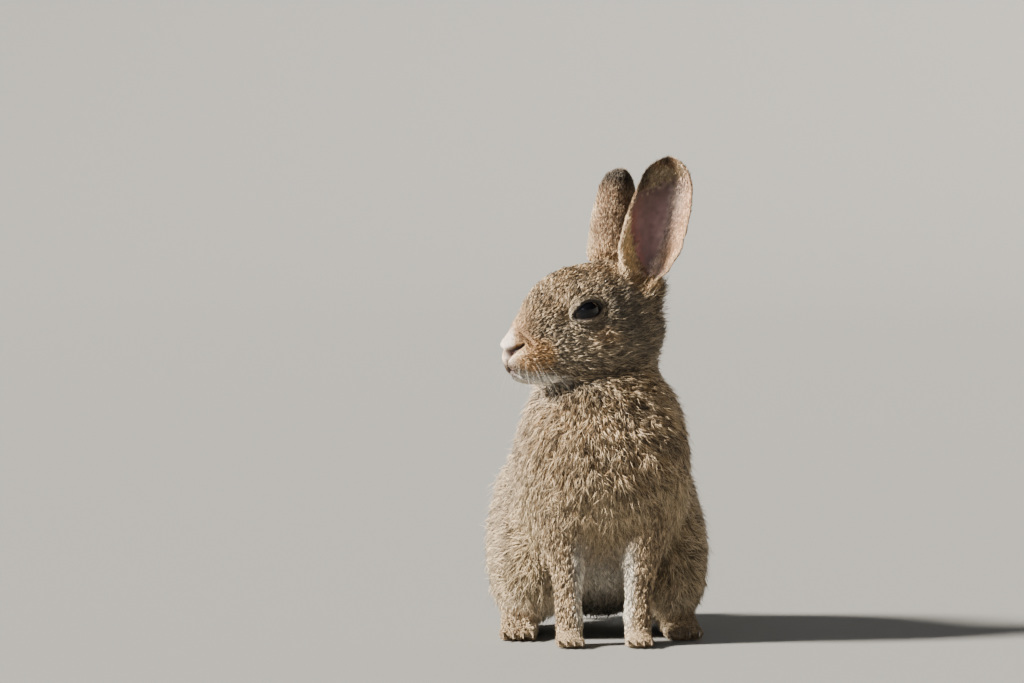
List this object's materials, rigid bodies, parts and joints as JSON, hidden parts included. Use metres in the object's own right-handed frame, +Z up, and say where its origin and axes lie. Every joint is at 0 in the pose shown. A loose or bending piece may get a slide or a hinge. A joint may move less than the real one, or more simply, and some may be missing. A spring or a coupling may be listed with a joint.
{
  "type": "young wild rabbit",
  "caption": "Life-size model of a young wild rabbit sitting half upright, forelegs straight, head turned to its right, ears raised.",
  "frame": {"origin": "middle of the overall box, on the ground under the animal", "axes": "+Z up along the longest extent, the chest faces -Y and the muzzle points to -X"},
  "size_m": [0.094, 0.16, 0.2056],
  "materials": {
    "coat": "agouti fur, buff and brown with dark tips, pale on the feet and under the tail",
    "eye": "wet, nearly black",
    "claw": "dark horn"
  },
  "bodies": {
    "root": {"ear_left": "coat", "ear_right": "coat", "eye_left": "eye", "eye_right": "eye", "foreleg_left": "coat", "foreleg_right": "coat", "forepaw_left": "coat", "forepaw_left_claw_1": "claw", "forepaw_left_claw_2": "claw", "forepaw_left_claw_3": "claw", "forepaw_left_claw_4": "claw", "forepaw_right": "coat", "forepaw_right_claw_1": "claw", "forepaw_right_claw_2": "claw", "forepaw_right_claw_3": "claw", "forepaw_right_claw_4": "claw", "head": "coat", "hindfoot_left": "coat", "hindfoot_left_claw_1": "claw", "hindfoot_left_claw_2": "claw", "hindfoot_left_claw_3": "claw", "hindfoot_left_claw_4": "claw", "hindfoot_right": "coat", "hindfoot_right_claw_1": "claw", "hindfoot_right_claw_2": "claw", "hindfoot_right_claw_3": "claw", "hindfoot_right_claw_4": "claw", "neck": "coat", "tail": "coat", "thigh_left": "coat", "thigh_right": "coat", "trunk": "coat"}
  },
  "joints": []
}
